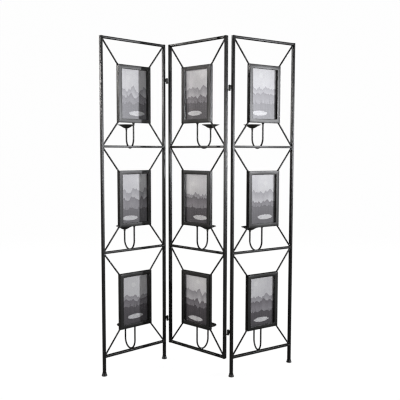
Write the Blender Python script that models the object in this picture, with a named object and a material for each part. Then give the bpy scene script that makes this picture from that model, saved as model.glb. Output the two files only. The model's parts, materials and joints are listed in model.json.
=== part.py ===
"""A three-panel folding screen of black steel tube: nine glazed picture frames and nine candle arms.

Metres, +Z up. X runs along the screen and -Y is its front. The origin is on the floor, under the
middle of the whole screen's box. In a panel's own coordinates X runs along the panel, -Y is its
front, and the floor is at zero.
"""

import math

import bmesh
import bpy
from mathutils import Matrix, Vector

# General
GAP = 0.0003  # between neighbouring pieces that touch
OVERRUN = 0.002  # how far a cut runs past the face that it opens
TUBE_SEAM = 0.001  # how far one welded shape runs into the next

# Panels
PANEL_WIDTH = 0.400  # between the centre lines of its two stiles
CELL_HEIGHT = 0.553  # between the centre lines of neighbouring rails
BOTTOM_RAIL_HEIGHT = 0.103  # from the floor to its centre line
TUBE_FACE = 0.012  # the tube's narrow side, seen from the front
TUBE_DEPTH = 0.020
TUBE_CORNER = 0.0012  # chamfer along the tube's corners
RAIL_INSET = 0.0004  # the rails' faces, behind those of the stiles
STILE_PROUD = 0.0006  # the stiles' ends, past the outer rails
CELLS = 3

# Rest pose, in degrees
MIDDLE_TURN = -41.9  # the middle panel against the screen's own line
LEFT_FOLD = 83.1  # 0 is flat, 180 is closed
RIGHT_FOLD = 74.5

# Hinges: an eye on each outer panel stands on an eye of the middle panel, with a pin through both
EYE_RADIUS = 0.0063
EYE_STILE_GAP = 0.0011  # from the eye to the side of its stile
AXIS_PROUD = 0.0018  # from the face of the stile out to the hinge axis
OUTER_EYE_HEIGHT = 0.0205
MIDDLE_EYE_HEIGHT = 0.0065
EYE_WEB = 0.0045  # thickness of the plate that carries an eye
EYE_WEB_INSET = 0.0008  # the plate, behind the stile's face and short of the eye's ends
PIN_RADIUS = 0.0030
PIN_HEAD_RADIUS = 0.0047
PIN_HEAD_HEIGHT = 0.0020
PIN_HEAD_EDGE = 0.0006
HINGE_ABOVE_BOTTOM_RAIL = 0.134
LEFT_HINGE_BELOW_TOP_RAIL = 0.190
RIGHT_HINGE_BELOW_TOP_RAIL = 0.255
PIN_SIDES = 12

# Feet
FOOT_RADIUS = 0.0150
FOOT_TOP_RADIUS = 0.0112
FOOT_HEIGHT = 0.0180
FOOT_RIM = 0.0040  # height of the straight band at its base
FOOT_EDGE = 0.0012
STUD_RADIUS = 0.0040
STUD_LENGTH = 0.0160
FOOT_SIDES = 16
FLARE_STEPS = 4

# Picture frames
FRAME_WIDTH = 0.204
FRAME_HEIGHT = 0.300
FRAME_FRONT = 0.013  # from the panel's middle plane to the frame's face
FRAME_BACK = 0.011
FRAME_BAND = 0.020  # width of the bar, seen from the front
FRAME_EDGE = 0.0010
GLASS_RECESS = 0.013  # from the frame's face to the glass
REBATE = 0.005  # how far the glass reaches behind the bar
GLASS_THICKNESS = 0.002
PRINT_SPACE = 0.0006  # for the sheet of paper between glass and board
BOARD_THICKNESS = 0.003
SHEET_CLEARANCE = 0.0005  # round the glass and the board
TAB_THICKNESS = 0.0010
TAB_WIDTH = 0.010
TAB_REACH = 0.0060
SIDE_TAB_SPREAD = 0.150  # between the two tabs on a long side
BRACE_RADIUS = 0.0045
BRACE_SIDES = 8

# Candle arms
ARM_RADIUS = 0.0045
ARM_REACH = 0.078  # from the fixing to the middle of the dish
ARM_SET_BACK = 0.005  # the fixing, behind the panel's middle plane
ARM_DIP = 0.006  # how far the bend passes below the rail's centre line
BEND_HEIGHT = 0.052
FLANGE_RADIUS = 0.0080
FLANGE_THICKNESS = 0.0022
NECK_RADIUS = 0.0066
NECK_HEIGHT = 0.0070
SCREW_RADIUS = 0.0028
SCREW_LENGTH = 0.0085
SCREW_CLEARANCE = 0.0004
ARM_SIDES = 8
BEND_STEPS = 12
ARM_TURNS = {  # each arm against straight back, in degrees, towards the panel's right
    "left": {"top": 5.0, "centre": -7.5, "bottom": -7.5},
    "middle": {"top": 24.0, "centre": 4.0, "bottom": 9.0},
    "right": {"top": -8.5, "centre": -17.5, "bottom": 10.0},
}

# Candle dishes
DISH_RADIUS = 0.0475
DISH_HEIGHT = 0.0285
DISH_RIM_DROP = 0.006  # the rim, below the underside of the picture frame
DISH_WALL = 0.0018
DISH_FLOOR_RADIUS = 0.0190
BOSS_RADIUS = 0.0058
BOSS_HEIGHT = 0.0080
SOCKET_DEPTH = 0.0065
DISH_SIDES = 18

# Worked out from the sizes above
ROWS = ("top", "centre", "bottom")
TOP_RAIL_HEIGHT = BOTTOM_RAIL_HEIGHT + CELLS * CELL_HEIGHT
HINGE_OUT = TUBE_FACE / 2 + EYE_STILE_GAP + EYE_RADIUS  # from the stile's centre line to the axis
HINGE_SET = TUBE_DEPTH / 2 + AXIS_PROUD  # from the panel's middle plane to the axis
AXIS_X = PANEL_WIDTH / 2 + HINGE_OUT
STACK_HEIGHT = MIDDLE_EYE_HEIGHT + GAP + OUTER_EYE_HEIGHT
GLASS_FRONT = GLASS_RECESS - FRAME_FRONT + GAP
BOARD_FRONT = GLASS_FRONT + GLASS_THICKNESS + PRINT_SPACE
TAB_FRONT = BOARD_FRONT + BOARD_THICKNESS + GAP
FRAME_BOTTOM = (CELL_HEIGHT - FRAME_HEIGHT) / 2  # above the rail's centre line
HINGE_HEIGHTS = {
    "left": {
        "lower": BOTTOM_RAIL_HEIGHT + HINGE_ABOVE_BOTTOM_RAIL,
        "upper": TOP_RAIL_HEIGHT - LEFT_HINGE_BELOW_TOP_RAIL,
    },
    "right": {
        "lower": BOTTOM_RAIL_HEIGHT + HINGE_ABOVE_BOTTOM_RAIL,
        "upper": TOP_RAIL_HEIGHT - RIGHT_HINGE_BELOW_TOP_RAIL,
    },
}


def clear_scene():
    for old in list(bpy.data.objects):
        bpy.data.objects.remove(old)


def material(name, color, roughness, metallic, alpha=1.0):
    made = bpy.data.materials.new(name)
    made.use_nodes = True
    shader = made.node_tree.nodes["Principled BSDF"]
    shader.inputs["Base Color"].default_value = (*color, 1.0)
    shader.inputs["Roughness"].default_value = roughness
    shader.inputs["Metallic"].default_value = metallic
    shader.inputs["Alpha"].default_value = alpha
    return made


def mesh_of(name, bm):
    bmesh.ops.recalc_face_normals(bm, faces=bm.faces)
    mesh = bpy.data.meshes.new(name)
    bm.to_mesh(mesh)
    bm.free()
    return mesh


def skin_of(name, rings, around=False):
    """A mesh from rings of points. `around` says whether the last ring joins the first."""
    bm = bmesh.new()
    loops = [[bm.verts.new(point) for point in ring] for ring in rings]
    pairs = list(zip(loops, loops[1:]))
    if around:
        pairs.append((loops[-1], loops[0]))
    for lower, upper in pairs:
        for i in range(len(lower)):
            j = (i + 1) % len(lower)
            bm.faces.new((lower[i], lower[j], upper[j], upper[i]))
    if not around:
        bm.faces.new(loops[0])
        bm.faces.new(loops[-1])
    return mesh_of(name, bm)


def box(low, high):
    """A plain block between two corners."""
    low, high = Vector(low), Vector(high)
    bm = bmesh.new()
    fit = Matrix.Translation((low + high) / 2) @ Matrix.Diagonal((*(high - low), 1))
    bmesh.ops.create_cube(bm, size=1, matrix=fit)
    return mesh_of("block", bm)


def turned(name, profile, sides, axis=(0, 0)):
    """A solid of revolution from (radius, height) points, first and last on the axis.
    The axis is upright, through this spot."""
    bm = bmesh.new()
    base = bm.verts.new((*axis, profile[0][1]))
    tip = bm.verts.new((*axis, profile[-1][1]))
    rings = []
    for radius, height in profile[1:-1]:
        ring = []
        for i in range(sides):
            angle = math.tau * i / sides
            x = axis[0] + radius * math.cos(angle)
            y = axis[1] + radius * math.sin(angle)
            ring.append(bm.verts.new((x, y, height)))
        rings.append(ring)
    for i in range(sides):
        j = (i + 1) % sides
        bm.faces.new((base, rings[0][i], rings[0][j]))
        bm.faces.new((tip, rings[-1][j], rings[-1][i]))
        for lower, upper in zip(rings, rings[1:]):
            bm.faces.new((lower[i], upper[i], upper[j], lower[j]))
    return mesh_of(name, bm)


def cylinder(radius, low, high, sides, axis=(0, 0)):
    profile = [(0, low), (radius, low), (radius, high), (0, high)]
    return turned("cylinder", profile, sides, axis)


def rod(start, end, radius, sides):
    """A straight round bar between two points."""
    start, end = Vector(start), Vector(end)
    turn = (end - start).to_track_quat("Z", "Y")
    rings = []
    for centre in (start, end):
        ring = []
        for i in range(sides):
            angle = math.tau * (i + 1 / 2) / sides
            offset = Vector((radius * math.cos(angle), radius * math.sin(angle), 0))
            ring.append(centre + turn @ offset)
        rings.append(ring)
    return skin_of("rod", rings)


def tube(start, end, wide, deep, across):
    """A rectangular tube with chamfered corners, its narrow side along `across`."""
    start, end, across = Vector(start), Vector(end), Vector(across)
    back = Vector((0, 1, 0))
    x, y, c = wide / 2, deep / 2, TUBE_CORNER
    outline = [(x - c, -y), (x, c - y), (x, y - c), (x - c, y)]
    outline += [(-u, -v) for u, v in outline]
    rings = [[centre + across * u + back * v for u, v in outline] for centre in (start, end)]
    return skin_of("tube", rings)


def combined(name, solids, cuts=()):
    """One mesh: the solids welded together, then the cuts taken out. The solids are all closed,
    and the manifold solver keeps the long weld of many tubes closed too."""
    steps = [(solid, "UNION") for solid in solids[1:]] + [(cut, "DIFFERENCE") for cut in cuts]
    body = bpy.data.objects.new(name, solids[0])
    helpers = [bpy.data.objects.new(operation.lower(), shape) for shape, operation in steps]
    for thing in [body, *helpers]:
        bpy.context.scene.collection.objects.link(thing)
    for helper, (_, operation) in zip(helpers, steps):
        modifier = body.modifiers.new(operation.lower(), "BOOLEAN")
        modifier.operation = operation
        modifier.solver = "MANIFOLD"
        modifier.object = helper
    graph = bpy.context.evaluated_depsgraph_get()
    result = bpy.data.meshes.new_from_object(body.evaluated_get(graph))
    result.name = name
    for thing in [body, *helpers]:
        bpy.data.objects.remove(thing)
    return result


def smooth(mesh, degrees=30):
    mesh.shade_smooth()
    mesh.set_sharp_from_angle(angle=math.radians(degrees))
    return mesh


def place(name, mesh, finish, parent, location=(0, 0, 0), turn=0):
    """One named piece, hung on its parent. `turn` is about Z, in degrees."""
    made = bpy.data.objects.new(name, mesh)
    if not mesh.materials:
        mesh.materials.append(finish)
    bpy.context.scene.collection.objects.link(made)
    made.parent = parent
    made.location = location
    made.rotation_euler = (0, 0, math.radians(turn))
    return made


def empty(name, parent=None, location=(0, 0, 0), turn=0):
    made = bpy.data.objects.new(name, None)
    bpy.context.scene.collection.objects.link(made)
    made.parent = parent
    made.location = location
    made.rotation_euler = (0, 0, math.radians(turn))
    return made


def hinge_eye(side, face, low, high):
    """An eye and the plate that carries it. side is -1 or 1 along X, face is -1 in front, 1 behind."""
    x, y = side * AXIS_X, face * HINGE_SET
    stile, plate_end = side * PANEL_WIDTH / 2, side * (AXIS_X - EYE_RADIUS / 3)
    proud = TUBE_DEPTH / 2 - EYE_WEB_INSET
    plate_y = sorted((face * proud, face * (proud - EYE_WEB)))
    plate_x = sorted((stile, plate_end))
    plate_z = (low + EYE_WEB_INSET, high - EYE_WEB_INSET)
    plate = box(*zip(plate_x, plate_y, plate_z))
    return [plate, cylinder(EYE_RADIUS, low, high, PIN_SIDES, (x, y))]


def pin_hole(side, face, low, high):
    spot = (side * AXIS_X, face * HINGE_SET)
    return cylinder(PIN_RADIUS + GAP, low - OVERRUN, high + OVERRUN, PIN_SIDES, spot)


def panel_frame(name, with_legs, hinges):
    """Two stiles and four rails, welded, with the hinge eyes. hinges is a list of
    (side, face, height of the eye's underside, height of its top)."""
    rail_edge = TUBE_FACE / 2 + STILE_PROUD
    stile_foot = FOOT_HEIGHT + GAP if with_legs else BOTTOM_RAIL_HEIGHT - rail_edge
    top = TOP_RAIL_HEIGHT + rail_edge
    half = PANEL_WIDTH / 2
    solids = []
    for x in (-half, half):
        solids.append(tube((x, 0, stile_foot), (x, 0, top), TUBE_FACE, TUBE_DEPTH, (1, 0, 0)))
    reach = half - TUBE_FACE / 2 + TUBE_SEAM
    for level in range(CELLS + 1):
        z = BOTTOM_RAIL_HEIGHT + level * CELL_HEIGHT
        rail_depth = TUBE_DEPTH - 2 * RAIL_INSET
        solids.append(tube((-reach, 0, z), (reach, 0, z), TUBE_FACE, rail_depth, (0, 0, 1)))
    cuts = []
    for side, face, low, high in hinges:
        solids += hinge_eye(side, face, low, high)
        cuts.append(pin_hole(side, face, low, high))
    if with_legs:
        depth = STUD_LENGTH + GAP
        for x in (-half, half):
            low, high = stile_foot - OVERRUN, stile_foot + depth
            cuts.append(cylinder(STUD_RADIUS + GAP, low, high, FOOT_SIDES, (x, 0)))
    return combined(name, solids, cuts)


def picture_frame():
    """A deep box frame with a rebate for glass and board, bent tabs and four brace rods.
    Its middle is the origin."""
    front, back = -FRAME_FRONT, FRAME_BACK
    ledge = front + GLASS_RECESS
    section = [  # from the outer edge inwards, and from front to back
        (0, front + FRAME_EDGE),
        (FRAME_EDGE, front),
        (FRAME_BAND - FRAME_EDGE, front),
        (FRAME_BAND, front + FRAME_EDGE),
        (FRAME_BAND, ledge),
        (FRAME_BAND - REBATE, ledge),
        (FRAME_BAND - REBATE, back),
        (0, back),
    ]
    rings = []
    for inset, y in section:
        x, z = FRAME_WIDTH / 2 - inset, FRAME_HEIGHT / 2 - inset
        rings.append([(x, y, z), (-x, y, z), (-x, y, -z), (x, y, -z)])
    solids = [skin_of("frame", rings, around=True)]
    solids += retaining_tabs()
    solids += brace_rods()
    stud_y, foot = ARM_SET_BACK, -FRAME_HEIGHT / 2
    hole = SCREW_RADIUS + SCREW_CLEARANCE
    top = foot + SCREW_LENGTH + SCREW_CLEARANCE
    cuts = [cylinder(hole, foot - OVERRUN, top, ARM_SIDES, (0, stud_y))]
    return combined("picture_frame", solids, cuts)


def retaining_tabs():
    """Six bent tongues on the rebate's walls that hold the board in."""
    inner_x = FRAME_WIDTH / 2 - FRAME_BAND + REBATE
    inner_z = FRAME_HEIGHT / 2 - FRAME_BAND + REBATE
    half = TAB_WIDTH / 2
    low_y, high_y = TAB_FRONT, TAB_FRONT + TAB_THICKNESS
    tabs = []
    for side in (-1, 1):
        root, tip = side * (inner_x + TUBE_SEAM), side * (inner_x - TAB_REACH)
        for z in (-SIDE_TAB_SPREAD / 2, SIDE_TAB_SPREAD / 2):
            low_x, high_x = sorted((root, tip))
            tabs.append(box((low_x, low_y, z - half), (high_x, high_y, z + half)))
        root, tip = side * (inner_z + TUBE_SEAM), side * (inner_z - TAB_REACH)
        low_z, high_z = sorted((root, tip))
        tabs.append(box((-half, low_y, low_z), (half, high_y, high_z)))
    return tabs


def brace_rods():
    """Rods from the frame's corners to the corners of its cell, trimmed to the tubes' sides."""
    cell_x = (PANEL_WIDTH - TUBE_FACE) / 2
    cell_z = (CELL_HEIGHT - TUBE_FACE) / 2
    frame_x, frame_z = FRAME_WIDTH / 2, FRAME_HEIGHT / 2
    limit = (cell_x - GAP, FRAME_BACK, cell_z - GAP)
    rods = []
    for x in (-1, 1):
        for z in (-1, 1):
            inner = Vector((x * frame_x, 0, z * frame_z))
            outer = Vector((x * cell_x, 0, z * cell_z))
            along = (outer - inner).normalized()
            start = inner - along * 2 * BRACE_RADIUS
            end = outer + along * 2 * BRACE_RADIUS
            bar = rod(start, end, BRACE_RADIUS, BRACE_SIDES)
            rods.append(trimmed(bar, limit))
    return rods


def trimmed(mesh, limit):
    """The part of a mesh that lies inside the box from -limit to limit."""
    bm = bmesh.new()
    bm.from_mesh(mesh)
    for axis in range(3):
        for side in (-1, 1):
            normal = Vector((0, 0, 0))
            normal[axis] = side
            geometry = bm.verts[:] + bm.edges[:] + bm.faces[:]
            cut = bmesh.ops.bisect_plane(
                bm, geom=geometry, plane_co=normal * limit[axis], plane_no=normal, clear_outer=True
            )
            edges = [part for part in cut["geom_cut"] if isinstance(part, bmesh.types.BMEdge)]
            if edges:
                bmesh.ops.holes_fill(bm, edges=edges)
    return mesh_of("trimmed", bm)


def sheet(name, front, thickness):
    """A flat pane or board that fits the rebate."""
    x = FRAME_WIDTH / 2 - FRAME_BAND + REBATE - SHEET_CLEARANCE
    z = FRAME_HEIGHT / 2 - FRAME_BAND + REBATE - SHEET_CLEARANCE
    mesh = box((-x, front, -z), (x, front + thickness, z))
    mesh.name = name
    return mesh


def arm_path():
    """(height, distance back, radius) along the candle arm, from its screw to the dish.
    The fixing point under the frame is the origin."""
    low = -FRAME_BOTTOM - ARM_DIP
    bend = low + BEND_HEIGHT
    rod_end = -DISH_RIM_DROP - DISH_HEIGHT + SOCKET_DEPTH - GAP
    points = [
        (SCREW_LENGTH, 0, SCREW_RADIUS),
        (-GAP, 0, SCREW_RADIUS),
        (-GAP, 0, FLANGE_RADIUS),
        (-GAP - FLANGE_THICKNESS, 0, FLANGE_RADIUS),
        (-GAP - FLANGE_THICKNESS, 0, NECK_RADIUS),
        (-GAP - FLANGE_THICKNESS - NECK_HEIGHT, 0, ARM_RADIUS),
    ]
    for step in range(BEND_STEPS + 1):
        angle = math.pi * step / BEND_STEPS
        back = ARM_REACH / 2 * (1 - math.cos(angle))
        points.append((bend - BEND_HEIGHT * math.sin(angle), back, ARM_RADIUS))
    points.append((rod_end, ARM_REACH, ARM_RADIUS))
    return points


def candle_arm():
    """A hairpin of round bar, with its screw and flange, swept along the arm's path."""
    points = arm_path()
    rings = []
    for i, (z, y, radius) in enumerate(points):
        before, after = points[max(i - 1, 0)], points[min(i + 1, len(points) - 1)]
        along = Vector((0, after[1] - before[1], after[0] - before[0])).normalized()
        across = Vector((1, 0, 0))
        normal = along.cross(across)
        ring = []
        for side in range(ARM_SIDES):
            angle = math.tau * side / ARM_SIDES
            offset = across * math.cos(angle) + normal * math.sin(angle)
            ring.append(Vector((0, y, z)) + offset * radius)
        rings.append(ring)
    return skin_of("candle_arm", rings)


def height_at(profile, radius):
    """The height of an outward profile at this radius."""
    for (near, low), (far, high) in zip(profile, profile[1:]):
        if radius <= far:
            return low + (high - low) * (radius - near) / (far - near)
    return profile[-1][1]


def candle_dish():
    """A spun dish that flares like a trumpet, with a boss and a blind socket for the arm.
    The underside of its boss is the origin."""
    flare_shares = [(0.0, 0.0), (0.12, 0.04), (0.28, 0.22), (0.50, 0.50), (0.75, 0.78), (1.0, 1.0)]
    rise = DISH_HEIGHT - BOSS_HEIGHT - DISH_WALL
    spread = DISH_RADIUS - BOSS_RADIUS
    outside = [
        (BOSS_RADIUS + spread * out, BOSS_HEIGHT + rise * up) for out, up in flare_shares
    ]
    inside = [(radius, z + DISH_WALL) for radius, z in outside if radius > DISH_FLOOR_RADIUS]
    floor = height_at(outside, DISH_FLOOR_RADIUS) + DISH_WALL
    bore = ARM_RADIUS + GAP
    profile = [(0, SOCKET_DEPTH), (bore, SOCKET_DEPTH), (bore, 0), (BOSS_RADIUS, 0)]
    profile += outside + inside[::-1]
    profile += [(DISH_FLOOR_RADIUS, floor), (0, floor)]
    return turned("candle_dish", profile, DISH_SIDES)


def foot():
    """A flared cap under a leg, with a stud that stands in the leg's socket."""
    profile = [
        (0, 0),
        (FOOT_RADIUS - FOOT_EDGE, 0),
        (FOOT_RADIUS, FOOT_EDGE),
        (FOOT_RADIUS, FOOT_RIM),
    ]
    taper = FOOT_RADIUS - FOOT_TOP_RADIUS
    for step in range(1, FLARE_STEPS + 1):
        share = step / FLARE_STEPS
        radius = FOOT_RADIUS - taper * math.sin(math.pi / 2 * share)
        profile.append((radius, FOOT_RIM + (FOOT_HEIGHT - FOOT_RIM) * share))
    profile += [
        (STUD_RADIUS, FOOT_HEIGHT),
        (STUD_RADIUS, FOOT_HEIGHT + STUD_LENGTH),
        (0, FOOT_HEIGHT + STUD_LENGTH),
    ]
    return turned("foot", profile, FOOT_SIDES)


def hinge_pin():
    """A riveted pin. The underside of the middle panel's eye is the origin."""
    top = STACK_HEIGHT + GAP
    rim = PIN_HEAD_RADIUS - PIN_HEAD_EDGE
    profile = [
        (0, -GAP - PIN_HEAD_HEIGHT),
        (rim, -GAP - PIN_HEAD_HEIGHT),
        (PIN_HEAD_RADIUS, -GAP - PIN_HEAD_HEIGHT + PIN_HEAD_EDGE),
        (PIN_HEAD_RADIUS, -GAP),
        (PIN_RADIUS, -GAP),
        (PIN_RADIUS, top),
        (PIN_HEAD_RADIUS, top),
        (PIN_HEAD_RADIUS, top + PIN_HEAD_HEIGHT - PIN_HEAD_EDGE),
        (rim, top + PIN_HEAD_HEIGHT),
        (0, top + PIN_HEAD_HEIGHT),
    ]
    return turned("hinge_pin", profile, PIN_SIDES)


def stack_levels(panel, hinge):
    """Heights of the middle eye's underside and top, and of the outer eye's."""
    base = HINGE_HEIGHTS[panel][hinge] - STACK_HEIGHT / 2
    split = base + MIDDLE_EYE_HEIGHT
    return (base, split), (split + GAP, split + GAP + OUTER_EYE_HEIGHT)


def build_screen():
    steel = material("black_tube", (0.035, 0.034, 0.032), 0.35, 0.7)
    bar = material("black_frame_bar", (0.040, 0.038, 0.036), 0.38, 0.7)
    round_bar = material("black_round_bar", (0.030, 0.030, 0.030), 0.40, 0.7)
    spun = material("black_spun_dish", (0.045, 0.044, 0.040), 0.45, 0.6)
    clear = material("window_glass", (0.90, 0.93, 0.92), 0.05, 0.0, alpha=0.25)
    board = material("hardboard", (0.30, 0.19, 0.11), 0.80, 0.0)
    cap = material("black_foot", (0.020, 0.020, 0.020), 0.50, 0.0)
    pin_steel = material("dark_pin", (0.090, 0.090, 0.090), 0.30, 1.0)

    screen = empty("screen")
    middle = empty("middle_panel", screen, turn=MIDDLE_TURN)
    left_axis = empty("left_hinge_axis", middle, (-AXIS_X, -HINGE_SET, 0), LEFT_FOLD)
    right_axis = empty("right_hinge_axis", middle, (AXIS_X, HINGE_SET, 0), RIGHT_FOLD)
    left = empty("left_panel", left_axis, (-AXIS_X, HINGE_SET, 0))
    right = empty("right_panel", right_axis, (AXIS_X, -HINGE_SET, 0))
    panels = {"left": left, "middle": middle, "right": right}

    eyes = {"left": [], "middle": [], "right": []}
    pin_mesh = smooth(hinge_pin())
    for panel, axis, side, face in (("left", left_axis, 1, -1), ("right", right_axis, -1, 1)):
        for hinge in ("upper", "lower"):
            (low, split), (start, top) = stack_levels(panel, hinge)
            eyes["middle"].append((-side, face, low, split))
            eyes[panel].append((side, face, start, top))
            place(f"hinge_pin_{panel}_{hinge}", pin_mesh, pin_steel, axis, (0, 0, low))
    for panel, carrier in panels.items():
        name = f"panel_frame_{panel}"
        mesh = smooth(panel_frame(name, panel != "middle", eyes[panel]))
        place(name, mesh, steel, carrier)

    foot_mesh = smooth(foot())
    for panel, inner in (("left", 1), ("right", -1)):
        for spot, side in (("inner", inner), ("outer", -inner)):
            location = (side * PANEL_WIDTH / 2, 0, 0)
            place(f"foot_{panel}_{spot}", foot_mesh, cap, panels[panel], location)

    frame_mesh = smooth(picture_frame())
    glass_mesh = sheet("glass", GLASS_FRONT, GLASS_THICKNESS)
    board_mesh = sheet("backing_board", BOARD_FRONT, BOARD_THICKNESS)
    arm_mesh = smooth(candle_arm(), 40)
    dish_mesh = smooth(candle_dish())
    dish_height = -DISH_RIM_DROP - DISH_HEIGHT
    for panel, carrier in panels.items():
        for row, where in enumerate(ROWS):
            centre = TOP_RAIL_HEIGHT - (row + 1 / 2) * CELL_HEIGHT
            label = f"{panel}_{where}"
            for name, mesh, finish in (
                ("picture_frame", frame_mesh, bar),
                ("glass", glass_mesh, clear),
                ("backing_board", board_mesh, board),
            ):
                place(f"{name}_{label}", mesh, finish, carrier, (0, 0, centre))
            fixing = (0, ARM_SET_BACK, centre - FRAME_HEIGHT / 2)
            turn = -ARM_TURNS[panel][where]
            arm = place(f"candle_arm_{label}", arm_mesh, round_bar, carrier, fixing, turn)
            place(f"candle_dish_{label}", dish_mesh, spun, arm, (0, ARM_REACH, dish_height))
    return screen


def centre_on_floor(screen):
    """Moves the screen so that the origin is under the middle of its box."""
    bpy.context.view_layer.update()
    points = [
        made.matrix_world @ vertex.co
        for made in bpy.data.objects
        if made.type == "MESH"
        for vertex in made.data.vertices
    ]
    for axis in (0, 1):
        values = [point[axis] for point in points]
        screen.location[axis] -= (min(values) + max(values)) / 2
    bpy.context.view_layer.update()


clear_scene()
centre_on_floor(build_screen())
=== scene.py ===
import json
import math

import bpy
import numpy as np
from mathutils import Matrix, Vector


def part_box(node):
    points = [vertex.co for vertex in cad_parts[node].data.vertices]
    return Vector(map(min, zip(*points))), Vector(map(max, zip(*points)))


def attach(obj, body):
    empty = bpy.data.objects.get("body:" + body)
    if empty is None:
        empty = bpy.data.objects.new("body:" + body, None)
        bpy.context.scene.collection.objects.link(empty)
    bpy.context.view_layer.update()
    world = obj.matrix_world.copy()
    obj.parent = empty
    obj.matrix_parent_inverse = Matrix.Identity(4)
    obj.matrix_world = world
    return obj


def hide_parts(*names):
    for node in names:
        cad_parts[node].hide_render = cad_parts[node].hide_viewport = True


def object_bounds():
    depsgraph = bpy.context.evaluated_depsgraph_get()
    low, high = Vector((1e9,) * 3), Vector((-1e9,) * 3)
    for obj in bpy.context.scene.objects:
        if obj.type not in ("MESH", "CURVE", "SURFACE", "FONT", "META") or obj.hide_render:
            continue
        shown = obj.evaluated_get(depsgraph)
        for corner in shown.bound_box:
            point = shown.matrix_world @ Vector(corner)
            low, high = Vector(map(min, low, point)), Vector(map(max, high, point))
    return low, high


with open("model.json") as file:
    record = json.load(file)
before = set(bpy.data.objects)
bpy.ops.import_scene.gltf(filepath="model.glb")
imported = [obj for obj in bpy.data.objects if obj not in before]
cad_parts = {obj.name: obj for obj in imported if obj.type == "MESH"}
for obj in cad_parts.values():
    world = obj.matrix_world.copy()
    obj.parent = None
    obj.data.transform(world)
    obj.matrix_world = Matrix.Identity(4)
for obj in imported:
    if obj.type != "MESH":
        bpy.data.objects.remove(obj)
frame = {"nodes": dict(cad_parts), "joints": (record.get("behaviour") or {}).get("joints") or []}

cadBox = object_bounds()
print("frame loaded:", len(frame["nodes"]), "solids")

# The screen is laid out by panel and row. In a panel's own coordinates x runs along the panel,
# y points to its back, and the panel's middle line stands at x = y = 0.
panelNames = ("left", "middle", "right")
rowNames = ("top", "centre", "bottom")
cells = [(panel, row) for panel in panelNames for row in rowNames]

panelSizes = {
    "width": 0.400,           # between the centre lines of the stiles
    "cell": 0.553,            # between the centre lines of the rails
    "face": 0.012,            # the tube, seen from the front
    "depth": 0.020,
    "railSetBack": 0.0004,
    "corner": 0.0021,         # radius of the tube's corners
    "endRounding": 0.0009,
    "railEndRounding": 0.0002,
    "weldDepth": 0.001,       # how far a rail or a plate reaches into its stile
    "hingeOut": 0.2134,       # hinge axis, from the panel's middle line along the panel
    "hingeSet": 0.0118,       # and out of the panel's middle plane
    "armSetBack": 0.005,      # swivel axis of the candle arms, behind the middle plane
}


def angleOf(vector):
    return math.atan2(vector[1], vector[0])


# A panel's turn is the angle between two of its points in the room less the angle between the
# same points in its own coordinates. Its middle follows from one of them.
def placesOfPanels():
    axes = {joint["name"]: np.array(joint["pos_m"]) for joint in frame["joints"]}
    out, proud, back = panelSizes["hingeOut"], panelSizes["hingeSet"], panelSizes["armSetBack"]
    leftHinge, rightHinge = axes["left_panel_fold"], axes["right_panel_fold"]
    places = {"middle": (angleOf(rightHinge - leftHinge) - angleOf((2 * out, 2 * proud)),
                         (leftHinge + rightHinge) / 2)}
    for panel, hinge, local in (("left", leftHinge, (out, -proud)), ("right", rightHinge, (-out, proud))):
        arm = axes[f"candle_arm_swivel_{panel}_top"]
        turn = angleOf(hinge - arm) - angleOf((local[0], local[1] - back))
        middle = arm - np.array((-math.sin(turn) * back, math.cos(turn) * back, 0))
        places[panel] = (turn, middle)
    return places


panelPlaces = placesOfPanels()


# Room coordinates of a panel's own points: turned about the upright, then moved.
def inRoom(points, panel):
    turn, middle = panelPlaces[panel]
    x, y, z = points[..., 0], points[..., 1], points[..., 2]
    c, s = math.cos(turn), math.sin(turn)
    return np.stack((middle[0] + x * c - y * s, middle[1] + x * s + y * c, z), axis=-1)


def heightOf(node):
    low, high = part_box(node)
    return (low[2] + high[2]) / 2


# Where a turned solid's axis meets its underside.
def footOf(node):
    low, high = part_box(node)
    return np.array(((low[0] + high[0]) / 2, (low[1] + high[1]) / 2, low[2]))


cellCentres = {row: heightOf(f"glass_left_{row}") for row in rowNames}


# Surfaces

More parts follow.
